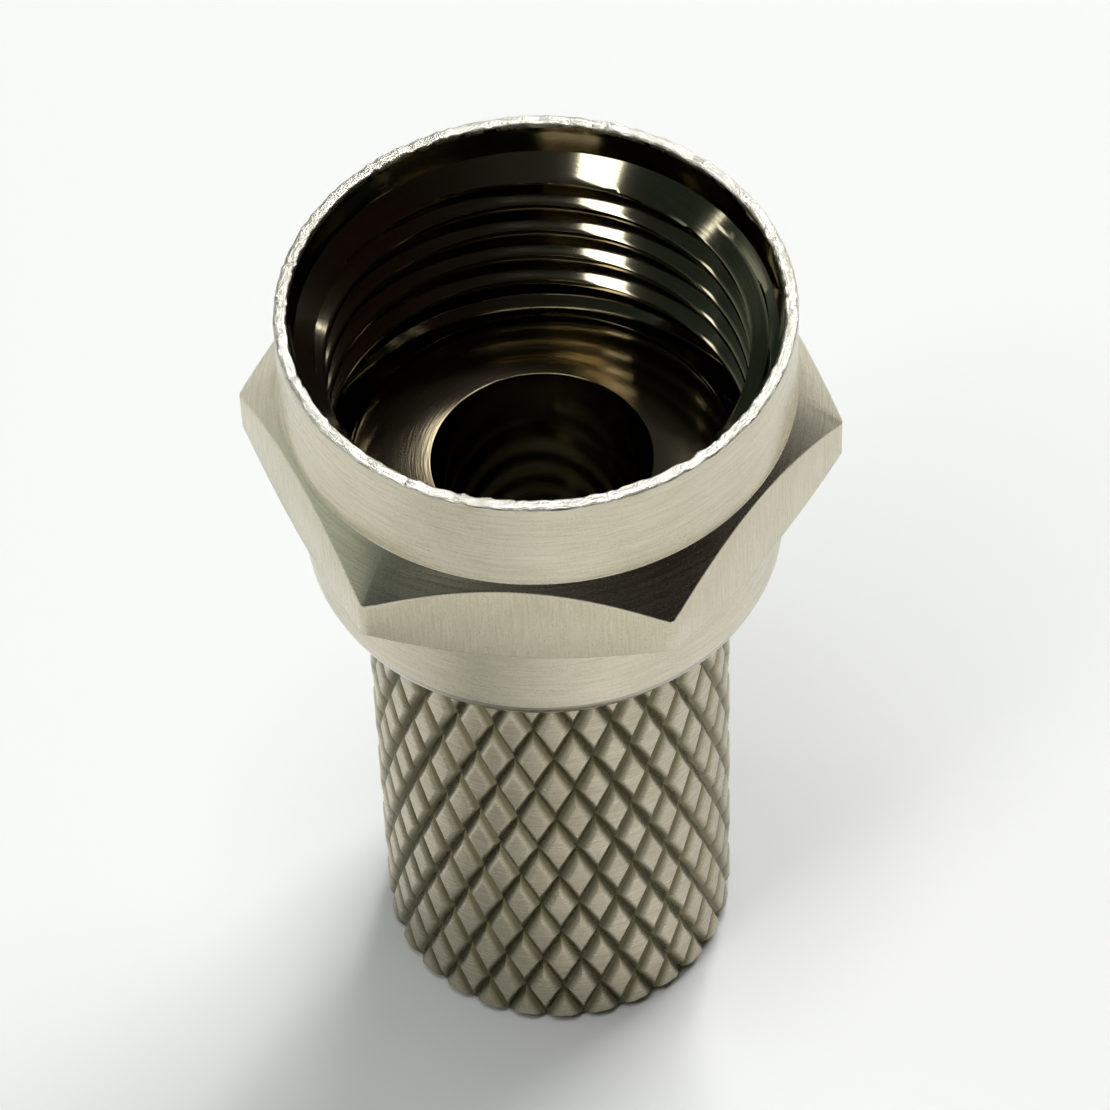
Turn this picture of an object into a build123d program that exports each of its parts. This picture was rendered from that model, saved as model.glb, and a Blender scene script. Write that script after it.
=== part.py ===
from build123d import *
import os
from math import radians, tan, pi

# Twist-on coaxial plug: a hexagon coupling nut turning on a knurled body.
# The frame stands on the body's rear face, with +Z along the axis towards the
# nut's mouth. All sizes are in millimetres.

# Body: a turned barrel with a neck and a flange in front of it.
barrel_diameter = 7.9
barrel_length = 12.2
barrel_edge = 0.25
neck_diameter = 6.4
flange_diameter = 8.2
flange_thickness = 2.05
flange_back_edge = 0.5
flange_front_edge = 0.12

# Through the body: a hole for the cable's dielectric, and behind it a wider
# bore that grips the jacket, with a plain mouth where the cable goes in.
dielectric_hole = 4.7
dielectric_hole_edge = 0.12
jacket_bore = 6.0
jacket_bore_depth = 10.6
drill_point_angle = 118.0
mouth_bore = 6.6
mouth_depth = 1.7
mouth_edge = 0.12

# Knurl: crossed V grooves, as many to the right as to the left, at this angle
# to the axis. The lowest ring of crossings lies just above the rear face.
knurl_grooves = 28
knurl_angle = 22.5
knurl_depth = 0.18
knurl_cutter_angle = 90.0
knurl_cutter_above = 0.15
knurl_first_crossing = 0.17

# Nut, from its rear end to its front face.
across_flats = 11.0
hex_corner_round = 0.3
nut_length = 7.8
skirt_diameter = 10.2
skirt_length = 2.95
skirt_round = 1.2
rear_chamfer_angle = 30.0
collar_diameter = 10.72
collar_length = 2.38
front_chamfer_angle = 42.0
collar_edge = 0.06

# Inside the nut: a lead-in, a 3/8-32 thread bored to its crests, a relief
# behind it, and the lip that is rolled in behind the flange.
lead_in_diameter = 10.2
lead_in_depth = 0.7
thread_major = 9.525
thread_crest = 8.76
thread_end_depth = 4.6
relief_width = 0.5
relief_extra = 0.08
lip_thickness = 0.8
lip_inner_round = 0.55

# Play between the two pieces.
lip_clearance = 0.2
lip_play_behind = 0.2
lip_play_in_front = 0.1

# Places worked out from the sizes above.
neck_length = lip_play_behind + lip_thickness + lip_play_in_front
flange_back = barrel_length + neck_length
body_length = flange_back + flange_thickness
nut_rear = barrel_length + lip_play_behind
nut_front = nut_rear + nut_length
lip_bore = neck_diameter + 2 * lip_clearance
hex_reach = across_flats / 3 ** 0.5

TO_MIN = (Align.CENTER, Align.CENTER, Align.MIN)


def rise(radial_step, angle_from_plane):
    """Height that a cone climbs over a radial step."""
    return radial_step * tan(radians(angle_from_plane))


def knurl_cutter(lefthand):
    """One V-shaped cutter that winds along the barrel, past both its ends."""
    half_width = (knurl_depth + knurl_cutter_above) * tan(radians(knurl_cutter_angle / 2))
    lead = pi * barrel_diameter / tan(radians(knurl_angle))
    bottom = knurl_first_crossing - lead / knurl_grooves
    top = barrel_length + neck_length / 2
    with BuildPart() as cutter:
        with BuildLine() as path:
            Helix(
                pitch=lead,
                height=top - bottom,
                radius=barrel_diameter / 2,
                center=(0, 0, bottom),
                lefthand=lefthand,
            )
        start = Plane(origin=path.line @ 0, x_dir=(1, 0, 0), z_dir=path.line % 0)
        with BuildSketch(start):
            Polygon(
                (-knurl_depth, 0),
                (knurl_cutter_above, half_width),
                (knurl_cutter_above, -half_width),
                align=None,
            )
        sweep(path=path.line, is_frenet=True)
    return cutter.part


# Knurled body.
with BuildPart() as knurled_body:
    Cylinder(barrel_diameter / 2, barrel_length, align=TO_MIN)
    chamfer(edges().filter_by(GeomType.CIRCLE), barrel_edge)

    # Neck and flange.
    with BuildSketch(faces().sort_by(Axis.Z)[-1]):
        Circle(neck_diameter / 2)
    extrude(amount=neck_length)
    with BuildSketch(faces().sort_by(Axis.Z)[-1]):
        Circle(flange_diameter / 2)
    extrude(amount=flange_thickness)
    flange_rims = edges().filter_by(GeomType.CIRCLE).filter_by(
        lambda edge: abs(edge.radius - flange_diameter / 2) < 0.001
    )
    chamfer(flange_rims.sort_by(Axis.Z)[0], flange_back_edge)
    chamfer(edges().filter_by(GeomType.CIRCLE).sort_by(Axis.Z)[-1], flange_front_edge)

    # Hole for the dielectric, bore for the jacket, and the plain mouth.
    Cylinder(dielectric_hole / 2, body_length, align=TO_MIN, mode=Mode.SUBTRACT)
    front_rims = edges().filter_by(GeomType.CIRCLE).group_by(Axis.Z)[-1]
    chamfer(front_rims.sort_by(SortBy.RADIUS)[0], dielectric_hole_edge)
    point_height = rise(jacket_bore / 2, 90 - drill_point_angle / 2)
    with BuildSketch(Plane.XZ):
        with BuildLine():
            Polyline(
                (0, 0),
                (mouth_bore / 2 + mouth_edge, 0),
                (mouth_bore / 2, mouth_edge),
                (mouth_bore / 2, mouth_depth),
                (jacket_bore / 2, mouth_depth + rise((mouth_bore - jacket_bore) / 2, 45)),
                (jacket_bore / 2, jacket_bore_depth),
                (0, jacket_bore_depth + point_height),
                close=True,
            )
        make_face()
    revolve(axis=Axis.Z, mode=Mode.SUBTRACT)

    # Knurl over the whole barrel.
    for lefthand in (False, True):
        with PolarLocations(0, knurl_grooves):
            add(knurl_cutter(lefthand), mode=Mode.SUBTRACT)

knurled_body.part.label = "knurled_body"


# Coupling nut, turned from hexagon bar.
with BuildPart() as coupling_nut:
    skirt_top = nut_rear + skirt_length
    collar_base = nut_front - collar_length
    with BuildSketch(Plane.XZ):
        with BuildLine():
            Polyline(
                (0, nut_rear),
                (skirt_diameter / 2, nut_rear),
                (skirt_diameter / 2, skirt_top),
                (hex_reach, skirt_top + rise(hex_reach - skirt_diameter / 2, rear_chamfer_angle)),
                (hex_reach, collar_base - rise(hex_reach - collar_diameter / 2, front_chamfer_angle)),
                (collar_diameter / 2, collar_base),
                (collar_diameter / 2, nut_front),
                (0, nut_front),
                close=True,
            )
        make_face()
    revolve(axis=Axis.Z)
    with BuildSketch(Plane.XY.offset(nut_rear)) as hexagon:
        RegularPolygon(across_flats / 2, 6, major_radius=False)
        fillet(hexagon.vertices(), hex_corner_round)
    extrude(amount=nut_length, mode=Mode.INTERSECT)
    end_rims = edges().filter_by(GeomType.CIRCLE).sort_by(Axis.Z)
    fillet(end_rims[0], skirt_round)
    chamfer(end_rims[-1], collar_edge)

    # Bore, from the mouth inwards.
    thread_start = nut_front - lead_in_depth
    thread_end = nut_front - thread_end_depth
    relief_diameter = thread_major + 2 * relief_extra
    lip_top = nut_rear + lip_thickness
    with BuildSketch(Plane.XZ):
        with BuildLine():
            Polyline(
                (0, nut_front),
                (lead_in_diameter / 2, nut_front),
                (thread_major / 2, thread_start),
                (thread_crest / 2, thread_start - rise((thread_major - thread_crest) / 2, 45)),
                (thread_crest / 2, thread_end),
                (relief_diameter / 2, thread_end),
                (relief_diameter / 2, thread_end - relief_width),
                (thread_crest / 2, thread_end - relief_width - rise((relief_diameter - thread_crest) / 2, 45)),
                (thread_crest / 2, lip_top + lip_inner_round),
            )
            RadiusArc(
                (thread_crest / 2, lip_top + lip_inner_round),
                (thread_crest / 2 - lip_inner_round, lip_top),
                lip_inner_round,
            )
            Polyline(
                (thread_crest / 2 - lip_inner_round, lip_top),
                (lip_bore / 2, lip_top),
                (lip_bore / 2, nut_rear),
                (0, nut_rear),
                (0, nut_front),
            )
        make_face()
    revolve(axis=Axis.Z, mode=Mode.SUBTRACT)

coupling_nut.part.label = "coupling_nut"


os.makedirs("parts", exist_ok=True)
export_step(knurled_body.part, "parts/knurled_body.step")
export_step(coupling_nut.part, "parts/coupling_nut.step")

for piece in (knurled_body, coupling_nut):
    box = piece.part.bounding_box()
    print(piece.part.label, "solids", len(piece.solids()), "volume", round(piece.part.volume, 2), "size", box.size)
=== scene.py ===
# %% [markdown]
# A twist-on coaxial plug, as nickel-plated turned brass.
#
# The real object is two turned pieces. A hexagon coupling nut, with a fine
# thread inside, is rolled in behind the flange of a knurled body, so it turns
# on the body and can't come off. Both pieces come from the CAD frame with
# plain walls. Here each gets a finer mesh with its threads, its worn rim and
# its plating, in the same place and at the same size.

# %% Load the frame
import random
from math import atan2, ceil, cos, hypot, pi, radians, sin, tan

import bmesh
import bpy
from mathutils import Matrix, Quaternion, Vector


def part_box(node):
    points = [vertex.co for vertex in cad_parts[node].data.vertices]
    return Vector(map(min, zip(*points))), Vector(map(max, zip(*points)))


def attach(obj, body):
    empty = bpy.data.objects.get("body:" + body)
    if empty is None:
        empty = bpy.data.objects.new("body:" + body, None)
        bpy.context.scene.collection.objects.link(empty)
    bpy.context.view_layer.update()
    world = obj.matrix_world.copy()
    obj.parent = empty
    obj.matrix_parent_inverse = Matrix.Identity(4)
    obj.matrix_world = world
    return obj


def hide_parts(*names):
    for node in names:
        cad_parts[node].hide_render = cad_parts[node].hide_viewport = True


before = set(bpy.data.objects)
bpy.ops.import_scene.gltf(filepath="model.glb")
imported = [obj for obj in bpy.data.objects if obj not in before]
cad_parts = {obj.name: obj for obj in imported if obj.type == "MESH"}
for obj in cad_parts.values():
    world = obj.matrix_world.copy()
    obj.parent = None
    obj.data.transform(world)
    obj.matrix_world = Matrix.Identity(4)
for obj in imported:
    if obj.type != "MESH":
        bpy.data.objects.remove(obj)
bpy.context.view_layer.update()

# %% [markdown]
# Sizes are in millimetres, as on the shop drawing, and the helpers turn them
# to metres. Round forms are given by their radius. The ends and the width of
# each piece are read from the frame, so the new meshes can't leave the place
# that the CAD gives them.

# %% Sizes read from the frame
MM = 0.001


def frame_corners(node):
    """Lowest and highest corner of a CAD node, in millimetres."""
    low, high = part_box(node)
    return [value / MM for value in low], [value / MM for value in high]


nut_low, nut_high = frame_corners("coupling_nut")
body_high = frame_corners("knurled_body")[1]
nut_rear = nut_low[2]
nut_front = nut_high[2]
half_flats = nut_high[1]
body_front = body_high[2]
flange_radius = body_high[0]
print("nut from", round(nut_rear, 3), "to", round(nut_front, 3))
print("across the flats", round(2 * half_flats, 3), "flange", round(2 * flange_radius, 3))

# %% [markdown]
# The camera stands where the photograph was taken from: above the plug and a
# little to its right, looking down into the nut. Its place was worked out from
# the plug's outlines, with the flats 11 mm apart. A camera placed by eye would
# do for a picture, but then no size could be read from it. The roll is the
# small lean of the nut in the photograph.

# %% Camera
aim_point = Vector((0.192, 0.022, 12.079)) * MM
camera_range = 117.68 * MM
camera_azimuth = radians(6.54)
camera_elevation = radians(51.20)
camera_roll = radians(-2.30)
focal_pixels = 5468
frame_pixels = 1110
sensor_width = 36

towards_camera = Vector((
    sin(camera_azimuth) * cos(camera_elevation),
    -cos(camera_azimuth) * cos(camera_elevation),
    sin(camera_elevation),
))
camera_data = bpy.data.cameras.new("camera")
camera_data.sensor_width = sensor_width
camera_data.lens = focal_pixels / frame_pixels * sensor_width
camera_data.clip_start = 1 * MM
camera = bpy.data.objects.new("camera", camera_data)
bpy.context.scene.collection.objects.link(camera)
camera.location = aim_point + towards_camera * camera_range
camera.rotation_mode = "QUATERNION"
looking = (-towards_camera).to_track_quat("-Z", "Y")
camera.rotation_quaternion = looking @ Quaternion((0, 0, 1), camera_roll)
bpy.context.scene.camera = camera
print("camera at", [round(value / MM, 2) for value in camera.location])
print("lens", round(camera_data.lens, 1))

# %% [markdown]
# Both pieces are turned on a lathe, so the modelling follows the lathe. A
# wire outline is drawn from one vertex by extruding it from corner to corner,
# and the spin tool carries it round the axis. Drawing rings and scaling them
# would work too, but an outline is what a turner reads.

# %% Wire outlines
around = 240
column = 2 * pi / around
first_column = column / 2
arc_step = radians(15)
print("columns round the axis", around)


def rounded(corners):
    """Outline points for (radius, height, rounding) corners, arcs worked out."""
    points = []
    for place, (radius, height, rounding) in enumerate(corners):
        corner = Vector((radius, height))
        if rounding == 0 or place in (0, len(corners) - 1):
            points.append(corner)
            continue
        back = (Vector(corners[place - 1][:2]) - corner).normalized()
        ahead = (Vector(corners[place + 1][:2]) - corner).normalized()
        half_angle = back.angle(ahead) / 2
        centre = corner + (back + ahead).normalized() * rounding / sin(half_angle)
        start = corner + back * rounding / tan(half_angle) - centre
        turn = start.angle_signed(corner + ahead * rounding / tan(half_angle) - centre)
        pieces = max(2, ceil(abs(turn) / arc_step))
        for step in range(pieces + 1):
            angle = -turn * step / pieces
            points.append(centre + Vector((
                start.x * cos(angle) - start.y * sin(angle),
                start.x * sin(angle) + start.y * cos(angle),
            )))
    return points


def finer(points, longest):
    """The same outline with no stretch longer than a given length."""
    result = [points[0]]
    for start, end in zip(points, points[1:]):
        pieces = max(1, ceil((end - start).length / longest))
        result += [start.lerp(end, step / pieces) for step in range(1, pieces + 1)]
    return result


def on_first_column(point):
    """Place of an outline point on the first column, in metres."""
    return Vector((point.x * cos(first_column), point.x * sin(first_column), point.y)) * MM


def draw_wire(name, points):
    """One vertex, extruded from point to point."""
    bpy.ops.object.select_all(action="DESELECT")
    bpy.ops.mesh.primitive_circle_add(vertices=3, radius=MM)
    piece = bpy.context.object
    piece.name = name
    bpy.ops.object.mode_set(mode="EDIT")
    bpy.ops.mesh.merge(type="CENTER")
    place = on_first_column(points[0])
    bpy.ops.transform.translate(value=place)
    for point in points[1:]:
        step = on_first_column(point) - place
        bpy.ops.mesh.extrude_vertices_move(TRANSFORM_OT_translate={"value": step})
        place += step
    bpy.ops.object.mode_set(mode="OBJECT")
    return piece


# %% [markdown]
# Four tools serve all the turned pieces. One spins a wire outline, one moves
# the points of a mesh by their radius and height, one joins pieces ring to
# ring, and one points the faces outwards and smooths the shading. The last
# also prints how many edges are open, because a hole in a wall is hard to see
# and spoils the part for anyone who prints or measures it.

# %% Tools for a turned mesh
merge_distance = 0.0005 * MM


def spin_wire(piece):
    """Carry a wire outline once round the axis."""
    bpy.ops.object.select_all(action="DESELECT")
    piece.select_set(True)
    bpy.context.view_layer.objects.active = piece
    bpy.ops.object.mode_set(mode="EDIT")
    bpy.ops.mesh.select_all(action="SELECT")
    bpy.ops.mesh.spin(
        steps=around, angle=2 * pi, center=(0, 0, 0), axis=(0, 0, 1), use_auto_merge=True,
    )
    bpy.ops.mesh.select_all(action="SELECT")
    bpy.ops.mesh.remove_doubles(threshold=merge_distance)
    bpy.ops.object.mode_set(mode="OBJECT")
    return piece


def reshape(piece, move):
    """Give each vertex the radius and height that move works out for it."""
    for vertex in piece.data.vertices:
        angle = atan2(vertex.co.y, vertex.co.x)
        radius, height = move(hypot(vertex.co.x, vertex.co.y) / MM, vertex.co.z / MM)
        vertex.co = Vector((radius * cos(angle), radius * sin(angle), height)) * MM


def join(name, pieces):
    """Join pieces into the first one and merge the rings where they meet."""
    bpy.ops.object.select_all(action="DESELECT")
    for piece in pieces:
        piece.select_set(True)
    bpy.context.view_layer.objects.active = pieces[0]
    bpy.ops.object.join()
    whole = bpy.context.object
    whole.name = name
    bpy.ops.object.mode_set(mode="EDIT")
    bpy.ops.mesh.select_all(action="SELECT")
    bpy.ops.mesh.remove_doubles(threshold=merge_distance)
    bpy.ops.object.mode_set(mode="OBJECT")
    return whole


def finish_mesh(piece, smooth_angle):
    """Point the faces outwards, smooth the shading, and print what was made."""
    bpy.ops.object.select_all(action="DESELECT")
    piece.select_set(True)
    bpy.context.view_layer.objects.active = piece
    bpy.ops.object.mode_set(mode="EDIT")
    bpy.ops.mesh.select_all(action="SELECT")
    bpy.ops.mesh.normals_make_consistent(inside=False)
    bpy.ops.object.mode_set(mode="OBJECT")
    bpy.ops.object.shade_smooth_by_angle(angle=radians(smooth_angle))
    form = bmesh.new()
    form.from_mesh(piece.data)
    open_edges = sum(1 for edge in form.edges if not edge.is_manifold)
    triangles = sum(len(face.verts) - 2 for face in form.faces)
    volume = round(form.calc_volume() / MM ** 3, 2)
    print(piece.name, "triangles", triangles, "open edges", open_edges, "volume", volume)
    form.free()


# %% [markdown]
# The nut's thread is the standard 3/8-32 of such plugs: 32 turns to the inch,
# with 60 degree flanks. The Screw modifier winds one pitch of its outline
# round the axis, which gives true turns that run into the lead-in, where
# stacked rings would not. Plating rounds the crests and roots a little.

# %% Screw threads
steps_along_pitch = 10


def screw_thread(name, crest, root, pitch, crest_width, flank_angle, rounding, bottom, top, phase):
    """A right-handed thread on the wall of a bore, a little past both ends.

    The phase is the share of a turn by which the thread starts early.
    """
    flank = (root - crest) * tan(flank_angle)
    outline = rounded([
        (crest, 0, 0),
        (crest, crest_width / 2, rounding),
        (root, crest_width / 2 + flank, rounding),
        (root, pitch - crest_width / 2 - flank, rounding),
        (crest, pitch - crest_width / 2, rounding),
        (crest, pitch, 0),
    ])
    start = bottom - (1 + phase) * pitch
    outline = [point + Vector((0, start)) for point in finer(outline, pitch / steps_along_pitch)]
    thread = draw_wire(name, outline)
    winding = thread.modifiers.new("winding", "SCREW")
    winding.axis = "Z"
    winding.angle = 2 * pi
    winding.steps = around
    winding.render_steps = around
    winding.screw_offset = pitch * MM
    winding.iterations = ceil((top - start) / pitch) + 1
    winding.use_merge_vertices = True
    winding.merge_threshold = merge_distance
    bpy.ops.object.modifier_apply(modifier=winding.name)
    bpy.ops.object.mode_set(mode="EDIT")
    bpy.ops.mesh.select_all(action="SELECT")
    bpy.ops.mesh.remove_doubles(threshold=merge_distance)
    bpy.ops.object.mode_set(mode="OBJECT")
    return thread


def trim_thread(thread, bottom, bottom_radius, top, top_radius, wall):
    """Gather all that is past an end into one ring there, and fit the rest to a wall."""

    def move(radius, height):
        if height <= bottom:
            return bottom_radius, bottom
        if height >= top:
            return top_radius, top
        return wall(radius, height), height

    reshape(thread, move)
    bpy.ops.object.select_all(action="DESELECT")
    thread.select_set(True)
    bpy.context.view_layer.objects.active = thread
    bpy.ops.object.mode_set(mode="EDIT")
    bpy.ops.mesh.select_all(action="SELECT")
    bpy.ops.mesh.remove_doubles(threshold=merge_distance)
    bpy.ops.object.mode_set(mode="OBJECT")
    print(thread.name, "vertices", len(thread.data.vertices))


# %% [markdown]
# The mouth opens in a lead-in, so that the port finds its way. Its wall is
# nearly straight for 0.7 mm and then closes in a short flat cone, which takes
# the crests off the first turn. That cone is cut by moving the vertices of the
# thread outwards where they lie inside it, which is what the real tool does.

# %% Nut thread
thread_pitch = 25.4 / 32
thread_major = 4.7625
thread_crest = 4.38
thread_crest_width = thread_pitch / 6
thread_flank = radians(30)
thread_rounding = 0.025
thread_phase = 0.75
thread_end_depth = 4.6
relief_extra = 0.08
lead_in_radius = 4.97
lead_in_depth = 0.72
lead_in_slope = 0.62
thread_start = nut_front - lead_in_depth
thread_end = nut_front - thread_end_depth
relief_radius = thread_major + relief_extra

nut_thread = screw_thread(
    "nut_thread", thread_crest, thread_major, thread_pitch, thread_crest_width,
    thread_flank, thread_rounding, thread_end, thread_start, thread_phase,
)


def cut_by_lead_in(radius, height):
    """The lead-in cone takes the crests off the first turn."""
    return max(radius, lead_in_radius - (thread_start - height) / lead_in_slope)


trim_thread(nut_thread, thread_end, relief_radius, thread_start, lead_in_radius, cut_by_lead_in)

# %% [markdown]
# The nut is turned from hexagon bar. Its outline is spun to the width over
# the rounded corners of the bar, and six cuts with the bisect tool then give
# the flats, so each flat meets the turned cones in the true curved edge. The
# rear end is rolled in, and the front is a plain round collar. Two rings of
# points below the rim keep its wear, made later, out of the walls' shading,
# and one beside the thread does the same for the end of its turns.

# %% Nut outline
corner_column = radians(30) - column / 2
bar_radius = half_flats / cos(corner_column)
skirt_radius = 5.1
skirt_length = 2.95
rear_cone = radians(30)
collar_radius = 5.36
collar_length = 2.38
front_cone = radians(42)
mouth_radius = 5.1
lip_thickness = 0.8
lip_radius = 3.4
relief_width = 0.5
slim_round = 0.05
lip_round = 0.55
lip_edge_round = 0.1
turned_round = 0.12
skirt_round = 1.2
collar_root_round = 0.04
rim_round_outside = 0.09
rim_round_inside = 0.06
mouth_taper = (mouth_radius - lead_in_radius) / lead_in_depth
ring_below_rim = 0.13
next_ring = 0.25
ring_by_thread = 0.05
skirt_top = nut_rear + skirt_length
collar_base = nut_front - collar_length
lip_top = nut_rear + lip_thickness

nut_corners = [
    (relief_radius, thread_end, 0),
    (relief_radius, thread_end - relief_width, slim_round),
    (thread_crest, thread_end - relief_width - (relief_radius - thread_crest), slim_round),
    (thread_crest, lip_top, lip_round),
    (lip_radius, lip_top, lip_edge_round),
    (lip_radius, nut_rear, turned_round),
    (skirt_radius, nut_rear, skirt_round),
    (skirt_radius, skirt_top, turned_round),
    (bar_radius, skirt_top + (bar_radius - skirt_radius) * tan(rear_cone), 0),
    (bar_radius, collar_base - (bar_radius - collar_radius) * tan(front_cone), 0),
    (collar_radius, collar_base, collar_root_round),
    (collar_radius, nut_front - next_ring, 0),
    (collar_radius, nut_front - ring_below_rim, 0),
    (collar_radius, nut_front, rim_round_outside),
    (mouth_radius, nut_front, rim_round_inside),
    (mouth_radius - mouth_taper * ring_below_rim, nut_front - ring_below_rim, 0),
    (mouth_radius - mouth_taper * next_ring, nut_front - next_ring, 0),
    (lead_in_radius + mouth_taper * ring_by_thread, thread_start + ring_by_thread, 0),
    (lead_in_radius, thread_start, 0),
]
nut_outline = rounded(nut_corners)
nut_turned = spin_wire(draw_wire("nut_turned", nut_outline))
print("nut outline points", len(nut_outline), "bar radius", round(bar_radius, 3))

# %% Cut the six flats
first_flat = radians(30)
flat_turn = radians(60)

bpy.ops.object.mode_set(mode="EDIT")
for flat in range(6):
    direction = first_flat + flat_turn * flat
    outwards = Vector((cos(direction), sin(direction), 0))
    bpy.ops.mesh.select_all(action="SELECT")
    bpy.ops.mesh.bisect(
        plane_co=outwards * half_flats * MM,
        plane_no=outwards,
        use_fill=True,
        clear_outer=True,
        threshold=merge_distance,
    )
print("faces after the cuts", len(bmesh.from_edit_mesh(nut_turned.data).faces))

# %% [markdown]
# A plated edge is never sharp: the polish before plating takes it down and
# the nickel builds up on it. A narrow bevel round each flat catches the light
# as the real edges do.

# %% Soften the edges of the flats
flat_bevel = 0.045
bevel_segments = 3
smallest_flat = 5
level_normal = 0.01

bpy.ops.mesh.select_all(action="DESELECT")
form = bmesh.from_edit_mesh(nut_turned.data)
for face in form.faces:
    upright = abs(face.normal.z) < level_normal
    face.select = upright and face.calc_area() > smallest_flat * MM ** 2
flats_found = sum(1 for face in form.faces if face.select)
bmesh.update_edit_mesh(nut_turned.data)
bpy.ops.mesh.region_to_loop()
bpy.ops.mesh.bevel(offset=flat_bevel * MM, segments=bevel_segments, clamp_overlap=True)
bpy.ops.object.mode_set(mode="OBJECT")
print("flats", flats_found)

nut = join("plated_nut", [nut_turned, nut_thread])

# %% [markdown]
# The front rim takes all the knocks. In the photograph it is a narrow bright
# ring with a ragged edge that sparkles. Each column of the rim is sunk and
# pushed aside by a small random amount, from a seeded draw, so every run
# gives the same wear. A bump in the material alone would leave the outline
# of the rim perfect.

# %% Wear the rim
rim_wear_reach = 0.11
rim_sink = 0.05
rim_shift = 0.032
wear_seed = 11
nut_smooth_angle = 28
draws = random.Random(wear_seed)
sunk = [draws.random() ** 2 for place in range(around)]
shifted = [draws.uniform(-1, 1) for place in range(around)]
for vertex in nut.data.vertices:
    share = (vertex.co.z / MM - nut_front + rim_wear_reach) / rim_wear_reach
    if share <= 0:
        continue
    angle = atan2(vertex.co.y, vertex.co.x)
    place = round((angle - first_column) / column) % around
    radius = hypot(vertex.co.x, vertex.co.y) / MM + shifted[place] * rim_shift * share
    height = vertex.co.z / MM - sunk[place] * rim_sink * share
    vertex.co = Vector((radius * cos(angle), radius * sin(angle), height)) * MM
finish_mesh(nut, nut_smooth_angle)

# %% [markdown]
# The knurl is the feature that takes the most skill. On the real barrel two
# crossed sets of V grooves leave rows of long diamonds. One diamond is made
# from a flat four-sided face: the inset tool gives it the slopes of the
# grooves, and a bevel rounds its edges. Its width is a whole share of the
# barrel's girth, so that a rolled-up sheet of them meets itself exactly.

# %% One diamond
barrel_radius = 3.95
barrel_top = 12.2
barrel_edge = 0.25
knurl_grooves = 28
knurl_angle = radians(22.5)
knurl_depth = 0.18
knurl_first_crossing = 0.17
land_bevel = 0.055
diamond_width = 2 * pi * barrel_radius / knurl_grooves
diamond_height = diamond_width / tan(knurl_angle)

bpy.ops.object.select_all(action="DESELECT")
bpy.ops.mesh.primitive_circle_add(vertices=4, radius=MM, fill_type="NGON")
knurl = bpy.context.object
knurl.name = "knurl"
bpy.ops.object.mode_set(mode="EDIT")
bpy.ops.mesh.select_all(action="SELECT")
bpy.ops.transform.resize(value=(diamond_width / 2, diamond_height / 2, 1))
bpy.ops.mesh.inset(thickness=knurl_depth * MM, depth=knurl_depth * MM)
bpy.ops.mesh.region_to_loop()
bpy.ops.mesh.bevel(offset=land_bevel * MM, segments=bevel_segments)
bpy.ops.mesh.select_all(action="SELECT")
lowest = knurl_first_crossing - diamond_height / 2
bpy.ops.transform.translate(value=(0, lowest * MM, 0))
bpy.ops.object.mode_set(mode="OBJECT")
print("diamond", round(diamond_width, 3), "by", round(diamond_height, 3))

# %% [markdown]
# A knurling wheel presses the same tooth again and again. Array modifiers
# repeat the diamond in the same way, round the barrel and up it, and each
# point then moves from the flat sheet onto the cylinder. Cutting 56 grooves
# with booleans would give the same form, but slowly and with a rough mesh.

# %% Repeat it and roll the sheet up
rows = ceil((barrel_top - lowest) / diamond_height) + 1
repeats = (
    ("shifted_row", 2, (diamond_width / 2, diamond_height / 2, 0)),
    ("round_the_barrel", knurl_grooves, (diamond_width, 0, 0)),
    ("up_the_barrel", rows, (0, diamond_height, 0)),
)
for name, count, offset in repeats:
    repeat = knurl.modifiers.new(name, "ARRAY")
    repeat.count = count
    repeat.use_relative_offset = False
    repeat.use_constant_offset = True
    repeat.constant_offset_displace = [value * MM for value in offset]
    repeat.use_merge_vertices = True
    repeat.merge_threshold = merge_distance
    bpy.ops.object.modifier_apply(modifier=name)

for vertex in knurl.data.vertices:
    angle = vertex.co.x / MM / barrel_radius
    radius = (barrel_radius - knurl_depth) * MM + vertex.co.z
    vertex.co = Vector((radius * cos(angle), radius * sin(angle), vertex.co.y))
print("rows of diamonds", rows, "vertices", len(knurl.data.vertices))

# %% [markdown]
# The rolled sheet is longer than the barrel. It is cut level at both ends,
# and a few more cuts near them let the end chamfers of the barrel run across
# the diamonds.

# %% Cut the knurl to length
bpy.ops.object.mode_set(mode="EDIT")
bpy.ops.mesh.select_all(action="SELECT")
bpy.ops.mesh.remove_doubles(threshold=merge_distance)
chamfer_cuts = 4
levels = [barrel_edge * step / chamfer_cuts for step in range(1, chamfer_cuts + 1)]
for level in levels:
    for height in (level, barrel_top - level):
        bpy.ops.mesh.select_all(action="SELECT")
        bpy.ops.mesh.bisect(
            plane_co=(0, 0, height * MM), plane_no=(0, 0, 1), threshold=merge_distance,
        )
for height, upwards in ((0, -1), (barrel_top, 1)):
    bpy.ops.mesh.select_all(action="SELECT")
    bpy.ops.mesh.bisect(
        plane_co=(0, 0, height * MM),
        plane_no=(0, 0, upwards),
        clear_outer=True,
        threshold=merge_distance,
    )
bpy.ops.object.mode_set(mode="OBJECT")


def within_chamfers(radius, height):
    """The end chamfers of the barrel, at 45 degrees."""
    from_end = max(0, min(height, barrel_top - height))
    return min(radius, barrel_radius - barrel_edge + from_end), height


reshape(knurl, within_chamfers)
print("faces of the knurl", len(knurl.data.polygons))

# %% [markdown]
# Inside the barrel a coarse thread grips the jacket of the cable as the plug
# is screwed on. It is deep at the mouth and fades out over its last turn,
# where the tap ran out, and a plain bore goes on to the drill point. It can
# only be seen from behind.

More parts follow.
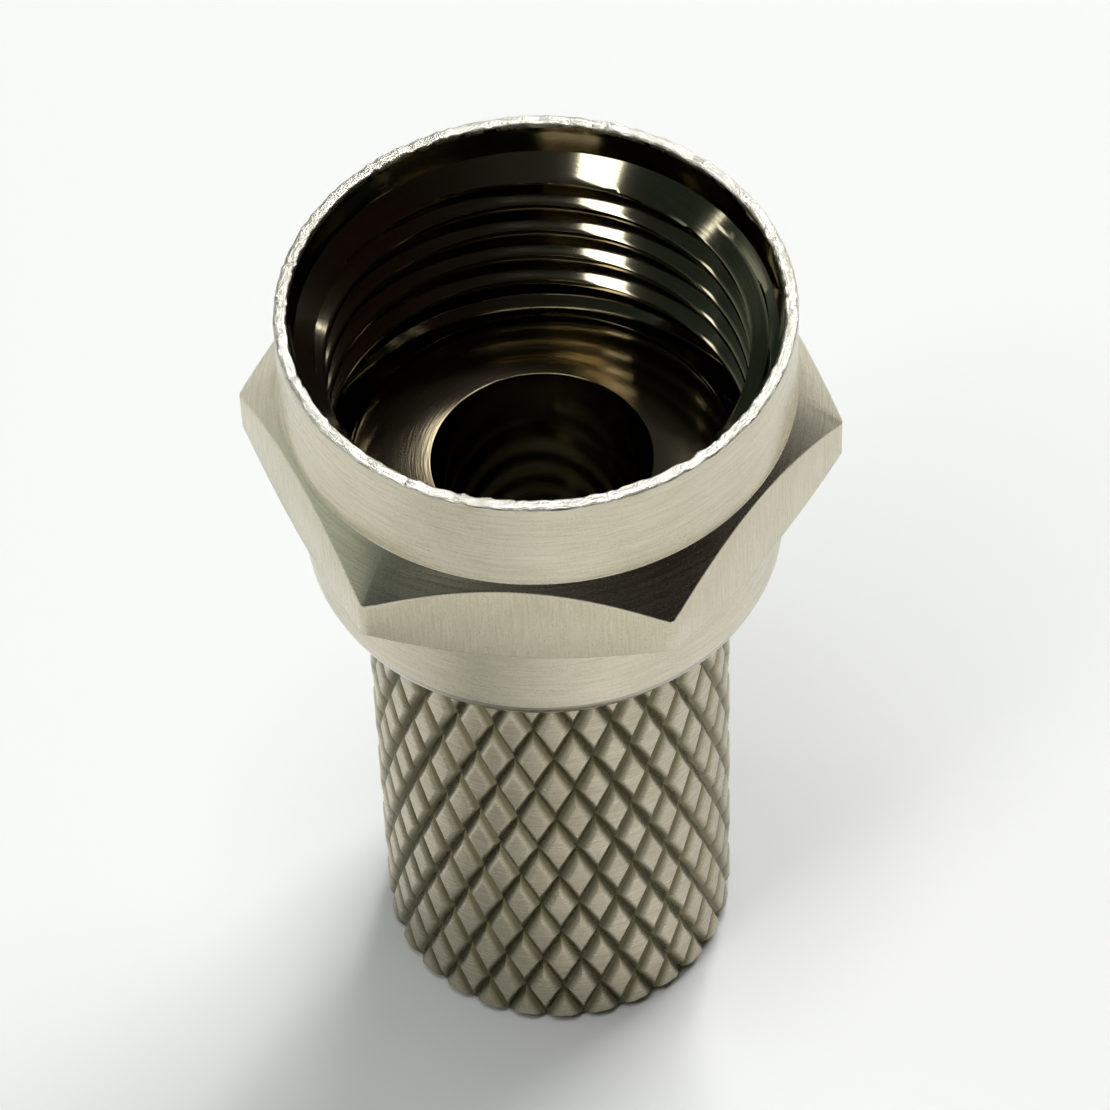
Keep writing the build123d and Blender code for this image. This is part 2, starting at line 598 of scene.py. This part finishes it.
# %% Jacket thread
jacket_crest = 3.0
jacket_root = 3.28
jacket_pitch = 1.5
jacket_crest_width = 0.4
jacket_flank = radians(45)
jacket_rounding = 0.06
jacket_phase = 0.5
jacket_thread_bottom = 1.7
jacket_thread_top = 8.4
fade_length = 1.2
mouth_bore = 3.3

jacket_thread = screw_thread(
    "jacket_thread", jacket_crest, jacket_root, jacket_pitch, jacket_crest_width,
    jacket_flank, jacket_rounding, jacket_thread_bottom, jacket_thread_top, jacket_phase,
)


def jacket_wall(radius, height):
    """Opens to the mouth below and fades to the plain bore above."""
    fade = min(1, (jacket_thread_top - height) / fade_length)
    mouth_cone = mouth_bore - (height - jacket_thread_bottom)
    return max(jacket_crest + (radius - jacket_crest) * fade, mouth_cone)


trim_thread(
    jacket_thread, jacket_thread_bottom, mouth_bore, jacket_thread_top, jacket_crest, jacket_wall,
)

# %% [markdown]
# The rest of the body is plain turning: the mouth for the cable, the drilled
# bore with its pointed end, the hole for the dielectric, the flange that the
# nut pulls on, and the neck that its lip runs round.

# %% Body outline
jacket_bore_depth = 10.6
drill_rise = radians(31)
dielectric_radius = 2.35
neck_radius = 3.2
flange_back = 13.3
flange_edge = 0.12
flange_back_edge = 0.5
rear_face_radius = 3.42
mouth_round = 0.03
hole_round = 0.015
bore_step = (jacket_crest - dielectric_radius) * tan(drill_rise)

mouth_corners = [
    (rear_face_radius, 0, 0),
    (mouth_bore, rear_face_radius - mouth_bore, mouth_round),
    (mouth_bore, jacket_thread_bottom - ring_by_thread, 0),
    (mouth_bore, jacket_thread_bottom, 0),
]
head_corners = [
    (jacket_crest, jacket_thread_top, 0),
    (jacket_crest, jacket_bore_depth, slim_round),
    (dielectric_radius, jacket_bore_depth + bore_step, slim_round),
    (dielectric_radius, body_front, hole_round),
    (flange_radius, body_front, flange_edge),
    (flange_radius, flange_back + flange_back_edge, slim_round),
    (flange_radius - flange_back_edge, flange_back, slim_round),
    (neck_radius, flange_back, slim_round),
    (neck_radius, barrel_top, 0),
]
mouth_turned = spin_wire(draw_wire("mouth_turned", rounded(mouth_corners)))
head_turned = spin_wire(draw_wire("head_turned", rounded(head_corners)))
body = join("plated_body", [mouth_turned, jacket_thread, head_turned, knurl])

# %% [markdown]
# Two flat rings are still open: the rear face, and the shoulder between the
# neck and the knurl. Each has a round edge and a toothed one, so bridging them
# would guess which points belong together. The fill tool needs no such match.

# %% Close the rear face and the shoulder
body_smooth_angle = 32

for height in (0, barrel_top):
    bpy.ops.object.mode_set(mode="EDIT")
    bpy.ops.mesh.select_all(action="DESELECT")
    bpy.ops.mesh.select_mode(type="EDGE")
    form = bmesh.from_edit_mesh(body.data)
    for edge in form.edges:
        level = all(abs(vertex.co.z - height * MM) < merge_distance for vertex in edge.verts)
        edge.select = edge.is_boundary and level
    found = sum(1 for edge in form.edges if edge.select)
    bmesh.update_edit_mesh(body.data)
    bpy.ops.mesh.fill(use_beauty=True)
    bpy.ops.object.mode_set(mode="OBJECT")
    print("filled at", height, "edges", found)
finish_mesh(body, body_smooth_angle)

# %% [markdown]
# The pieces take the place of the CAD nodes. Each rides on the body of the
# frame that its node belongs to, so the nut turns on the plug.

# %% Tie the pieces to the frame
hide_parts("coupling_nut")
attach(nut, "nut")
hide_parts("knurled_body")
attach(body, "body")


# %% [markdown]
# Colours are written as sRGB hex values, as a paint chart gives them, and one
# function turns them to the linear values that Blender works with. One more
# function adds a shader node with its settings and links.

# %% Colour and node helpers
def linear(hex_colour):
    """Linear RGBA from an sRGB hex colour."""
    channels = [int(hex_colour[place:place + 2], 16) / 255 for place in (1, 3, 5)]
    toned = [
        value / 12.92 if value <= 0.04045 else ((value + 0.055) / 1.055) ** 2.4
        for value in channels
    ]
    return (*toned, 1)


def add_node(tree, kind, settings=None, inputs=None):
    """Add a node, set its properties, and fill or link its inputs."""
    node = tree.nodes.new(kind)
    for name, value in (settings or {}).items():
        setattr(node, name, value)
    for name, value in (inputs or {}).items():
        if isinstance(value, bpy.types.NodeSocket):
            tree.links.new(value, node.inputs[name])
        else:
            node.inputs[name].default_value = value
    return node


# %% [markdown]
# The finish of both pieces is bright nickel plate over turned brass. Nickel
# is a warm grey metal. The plate follows the fine rings that the lathe tool
# left, so streaks run round the piece: their pattern is worked out from the
# distance to the axis and the height, which is how a lathe makes them. The
# flats of the nut are bare drawn bar under the plate, with streaks along the
# axis from the die. A fine grain and wide stains show where it was handled.
# Real tool marks can lie closer than the render shows, so the rings are drawn
# 0.05 mm apart. A picture of metal wrapped round the piece would stretch, and
# this can't.

# %% Nickel plate
ring_spacing = 0.05
ring_drift = 0.05
grain_size = 0.045
stain_size = 1.6
grain_share = 0.4
stain_share = 0.25
dull_below = 0.36
bright_above = 0.62
gloss_spread = 0.15


def nickel_plate(name, bright, dull, roughness, ring_depth, grain_depth, painted_groove_shade=None, drawn=False):
    """Nickel plate over turned brass, or over drawn bar.

    Painted shade in a groove, where there is any, is given by the radius
    at which it begins, the radius at which it is full, and its colour.
    """
    material = bpy.data.materials.new(name)
    material.use_nodes = True
    tree = material.node_tree
    tree.nodes.clear()
    place = add_node(tree, "ShaderNodeTexCoord").outputs["Object"]
    axes = add_node(tree, "ShaderNodeSeparateXYZ", inputs={0: place}).outputs
    across = add_node(
        tree, "ShaderNodeCombineXYZ", inputs={"X": axes["X"], "Y": axes["Y"]},
    ).outputs["Vector"]
    radius = add_node(
        tree, "ShaderNodeVectorMath", {"operation": "LENGTH"}, {0: across},
    ).outputs["Value"]
    section = add_node(
        tree, "ShaderNodeCombineXYZ", inputs={"X": radius, "Z": axes["Z"]},
    ).outputs["Vector"]
    if drawn:
        tool_path = add_node(
            tree, "ShaderNodeVectorMath", {"operation": "MULTIPLY"},
            {0: place, 1: (1, 1, ring_drift)},
        ).outputs["Vector"]
    else:
        tool_path = add_node(
            tree, "ShaderNodeVectorMath", {"operation": "MULTIPLY_ADD"},
            {0: place, 1: (ring_drift, ring_drift, 0), 2: section},
        ).outputs["Vector"]
    rings = add_node(
        tree, "ShaderNodeTexNoise",
        inputs={"Vector": tool_path, "Scale": 1 / (ring_spacing * MM), "Detail": 2},
    ).outputs["Fac"]
    grain = add_node(
        tree, "ShaderNodeTexNoise",
        inputs={"Vector": place, "Scale": 1 / (grain_size * MM), "Detail": 3, "Roughness": 0.6},
    ).outputs["Fac"]
    stain = add_node(
        tree, "ShaderNodeTexNoise",
        inputs={"Vector": place, "Scale": 1 / (stain_size * MM), "Detail": 3},
    ).outputs["Fac"]
    fine = add_node(
        tree, "ShaderNodeMix", inputs={"Factor": grain_share, "A": rings, "B": grain},
    ).outputs["Result"]
    wear = add_node(
        tree, "ShaderNodeMix", inputs={"Factor": stain_share, "A": fine, "B": stain},
    ).outputs["Result"]
    spread = add_node(
        tree, "ShaderNodeMapRange",
        inputs={"Value": wear, "From Min": dull_below, "From Max": bright_above},
    ).outputs["Result"]
    tone = add_node(
        tree, "ShaderNodeMix", {"data_type": "RGBA"},
        {"Factor": spread, "A": linear(dull), "B": linear(bright)},
    ).outputs["Result"]
    # Painted shade: the colour darkens towards the floor of each groove.
    if painted_groove_shade:
        groove_top, groove_floor, groove_shade_colour = painted_groove_shade
        depth = add_node(
            tree, "ShaderNodeMapRange",
            inputs={"Value": radius, "From Min": groove_top * MM, "From Max": groove_floor * MM},
        ).outputs["Result"]
        tone = add_node(
            tree, "ShaderNodeMix", {"data_type": "RGBA"},
            {"Factor": depth, "A": tone, "B": linear(groove_shade_colour)},
        ).outputs["Result"]
    gloss = add_node(
        tree, "ShaderNodeMapRange",
        inputs={
            "Value": spread,
            "To Min": roughness * (1 + gloss_spread),
            "To Max": roughness * (1 - gloss_spread),
        },
    ).outputs["Result"]
    ring_bump = add_node(
        tree, "ShaderNodeBump", inputs={"Height": rings, "Distance": ring_depth * MM},
    ).outputs["Normal"]
    bump = add_node(
        tree, "ShaderNodeBump",
        inputs={"Height": grain, "Distance": grain_depth * MM, "Normal": ring_bump},
    ).outputs["Normal"]
    shader = add_node(
        tree, "ShaderNodeBsdfPrincipled",
        inputs={"Base Color": tone, "Metallic": 1.0, "Roughness": gloss, "Normal": bump},
    )
    add_node(tree, "ShaderNodeOutputMaterial", inputs={"Surface": shader.outputs["BSDF"]})
    print(name, "roughness", roughness, "nodes", len(tree.nodes))
    return material


# %% [markdown]
# The same plate looks different from place to place, so one recipe is used
# with six settings. Outside the nut it is satin from handling, turned on the
# collar and skirt, drawn on the flats. In the bores it is smooth, so lamps show
# in it with sharp ends, and its darker colour is painted shade. The face of the
# flange keeps the rings of the facing tool, and its darker colour is painted
# shade too. The rim is scuffed, and its pale colour and strong grain are a
# painted highlight and sparkle. On the barrel each groove is darkened to olive
# brown towards its floor as painted shade. One finish for each whole piece
# would be simpler, but it would look cast, not made.

# %% Finishes of the pieces
# The knurl's colour darkens towards the floor of each groove: painted shade.
shade_start_depth = 0.004
full_shade_share = 0.6
groove_shade_start = barrel_radius - shade_start_depth
groove_shade_full = barrel_radius - knurl_depth * full_shade_share

outside_plate = nickel_plate(
    "nickel_plate_satin_turned", "#D2CBB6", "#BEB7A1",
    roughness=0.27, ring_depth=0.001, grain_depth=0.0012,
)
flat_plate = nickel_plate(
    "nickel_plate_satin_drawn_bar", "#CFC8B1", "#BDB59E",
    roughness=0.27, ring_depth=0.0006, grain_depth=0.0012, drawn=True,
)
# The plate in the bores is darker than the outside plate: its colour is painted shade.
shaded_bore_plate = nickel_plate(
    "nickel_plate_bore_painted_shade", "#A39C86", "#857E69",
    roughness=0.08, ring_depth=0.0003, grain_depth=0.0001,
)
# The plate on the end faces is darker than the outside plate: its colour is painted shade.
shaded_face_plate = nickel_plate(
    "nickel_plate_turned_face_painted_shade", "#A1957C", "#857A64",
    roughness=0.12, ring_depth=0.0013, grain_depth=0.0002,
)
# The rim's scuffs are real wear; its pale colour and strong grain contrast are a painted highlight
# and sparkle.
rim_plate_painted_highlight = nickel_plate(
    "nickel_plate_scuffed_rim_painted_highlight", "#F4F2EA", "#A8A392",
    roughness=0.25, ring_depth=0.004, grain_depth=0.028,
)
knurl_plate = nickel_plate(
    "nickel_plate_knurled", "#C4BCA6", "#A39B86",
    roughness=0.3, ring_depth=0.0005, grain_depth=0.003,
    painted_groove_shade=(groove_shade_start, groove_shade_full, "#6E6950"),
)

# %% [markdown]
# Each face takes its finish from where it lies, by radius, height and area.
# Picking faces by hand would work once, but this still holds when a size is
# changed.

# %% Place the finishes
inside_reach = 0.02
past_jacket_crest = 0.36
deepest_bore = jacket_crest + past_jacket_crest


def nut_finish(radius, height, area):
    """Number of a finish of the nut: flats, rim, bore or turned outside."""
    if area > smallest_flat:
        return 3
    if height > nut_front - rim_round_inside:
        return 2
    in_bore = radius < mouth_radius - inside_reach and height > nut_rear + inside_reach
    return 1 if in_bore else 0


def body_finish(radius, height, area):
    """Number of a finish of the body: end faces, knurl, or bores and neck."""
    if height > body_front - inside_reach or height < inside_reach:
        return 2
    on_barrel = radius > deepest_bore and height < barrel_top - inside_reach
    return 0 if on_barrel else 1


def dress(piece, materials, finish_of):
    """Give every face of a piece the finish of its place."""
    piece.data.materials.clear()
    for material in materials:
        piece.data.materials.append(material)
    for face in piece.data.polygons:
        radius = hypot(face.center.x, face.center.y) / MM
        face.material_index = finish_of(radius, face.center.z / MM, face.area / MM ** 2)
    print(piece.name, "finishes", [material.name for material in materials])


dress(nut, [outside_plate, shaded_bore_plate, rim_plate_painted_highlight, flat_plate], nut_finish)
dress(body, [knurl_plate, shaded_bore_plate, shaded_face_plate], body_finish)

# %% [markdown]
# The plug stands on white paper: one large matt plane, a hair under the rear
# face, so that the two surfaces don't lie in one place.

# %% Floor
floor_width = 3.0
floor_gap = 0.02

bpy.ops.object.select_all(action="DESELECT")
bpy.ops.mesh.primitive_plane_add(size=floor_width, location=(0, 0, -floor_gap * MM))
floor = bpy.context.object
floor.name = "floor"
floor_paper = bpy.data.materials.new("white_paper_matt")
floor_paper.use_nodes = True
paper_shader = floor_paper.node_tree.nodes["Principled BSDF"]
paper_shader.inputs["Base Color"].default_value = linear("#F7F8F7")
paper_shader.inputs["Roughness"].default_value = 0.9
floor.data.materials.append(floor_paper)
print("floor", floor_width, "m wide")

# %% [markdown]
# A broad soft lamp behind and to the right gives the main light and the grey
# shadow towards the camera. A small lamp behind sharpens that shadow, a narrow
# one in front to the left gives the bright bars on the thread, one overhead
# fills the floor, and a weak one at the left puts glints on the right wall of
# the bore. Each gets a share of the light on the floor, and the shares and the
# dim room add up to paper just under white, so no pale surface clips.

# %% Lamps
lamp_distance = 1.2


def soft_lamp(name, azimuth, elevation, width, height, share):
    """An area lamp that aims at the plug.

    Azimuth is counted from +Y towards +X. The share is the lamp's part of the
    light that makes the floor white, and its watts are worked out from it.
    """
    direction = Vector((
        sin(radians(azimuth)) * cos(radians(elevation)),
        cos(radians(azimuth)) * cos(radians(elevation)),
        sin(radians(elevation)),
    ))
    lamp_data = bpy.data.lights.new(name, "AREA")
    lamp_data.shape = "RECTANGLE"
    lamp_data.size = width
    lamp_data.size_y = height
    lamp_data.energy = share * pi ** 2 * lamp_distance ** 2 / sin(radians(elevation))
    lamp = bpy.data.objects.new(name, lamp_data)
    bpy.context.scene.collection.objects.link(lamp)
    lamp.location = direction * lamp_distance
    lamp.rotation_mode = "QUATERNION"
    lamp.rotation_quaternion = (-direction).to_track_quat("-Z", "Y")
    print(name, "watts", round(lamp_data.energy, 1))


soft_lamp("broad_lamp_behind", azimuth=26, elevation=46, width=0.7, height=0.6, share=0.51)
soft_lamp("small_lamp_behind", azimuth=10, elevation=63, width=0.09, height=0.09, share=0.11)
soft_lamp("narrow_lamp_in_front", azimuth=220, elevation=65.5, width=0.2, height=0.75, share=0.2)
soft_lamp("overhead_lamp", azimuth=180, elevation=86, width=0.4, height=0.4, share=0.18)
soft_lamp("small_lamp_at_left", azimuth=272, elevation=42, width=0.1, height=0.2, share=0.01)

# %% [markdown]
# Polished metal shows what is round it, and the cones of the nut look nearly
# black in the photograph, so the room above is dim. It is a little green on
# the left, brown on the right, with a pale window wall at the far left, and
# pale near the floor, which carries the paper's white on past its edge.

# %% Dim room
pale_below = 0.14
sides_meet = 0.6
window_from = -0.7
window_full = -0.92

world = bpy.data.worlds.new("dim_room")
bpy.context.scene.world = world
world.use_nodes = True
sky = world.node_tree
sky.nodes.clear()
sky_place = add_node(sky, "ShaderNodeTexCoord").outputs["Generated"]
sky_axes = add_node(sky, "ShaderNodeSeparateXYZ", inputs={0: sky_place}).outputs
fade_up = add_node(
    sky, "ShaderNodeMapRange", {"interpolation_type": "SMOOTHSTEP"},
    {"Value": sky_axes["Z"], "From Min": 0.0, "From Max": pale_below},
).outputs["Result"]
side = add_node(
    sky, "ShaderNodeMapRange",
    inputs={"Value": sky_axes["X"], "From Min": -sides_meet, "From Max": sides_meet},
).outputs["Result"]
walls = add_node(
    sky, "ShaderNodeMix", {"data_type": "RGBA"},
    {"Factor": side, "A": linear("#333D38"), "B": linear("#1F1512")},
).outputs["Result"]
far_left = add_node(
    sky, "ShaderNodeMapRange", {"interpolation_type": "SMOOTHSTEP"},
    {"Value": sky_axes["X"], "From Min": window_from, "From Max": window_full},
).outputs["Result"]
window_wall = add_node(
    sky, "ShaderNodeMix", {"data_type": "RGBA"},
    {"Factor": far_left, "A": walls, "B": linear("#C3CEC6")},
).outputs["Result"]
room = add_node(
    sky, "ShaderNodeMix", {"data_type": "RGBA"},
    {"Factor": fade_up, "A": linear("#E4E6E4"), "B": window_wall},
).outputs["Result"]
background = add_node(sky, "ShaderNodeBackground", inputs={"Color": room, "Strength": 1.0})
add_node(sky, "ShaderNodeOutputWorld", inputs={"Surface": background.outputs["Background"]})
bpy.context.scene.view_settings.view_transform = "Standard"
print("room nodes", len(sky.nodes))
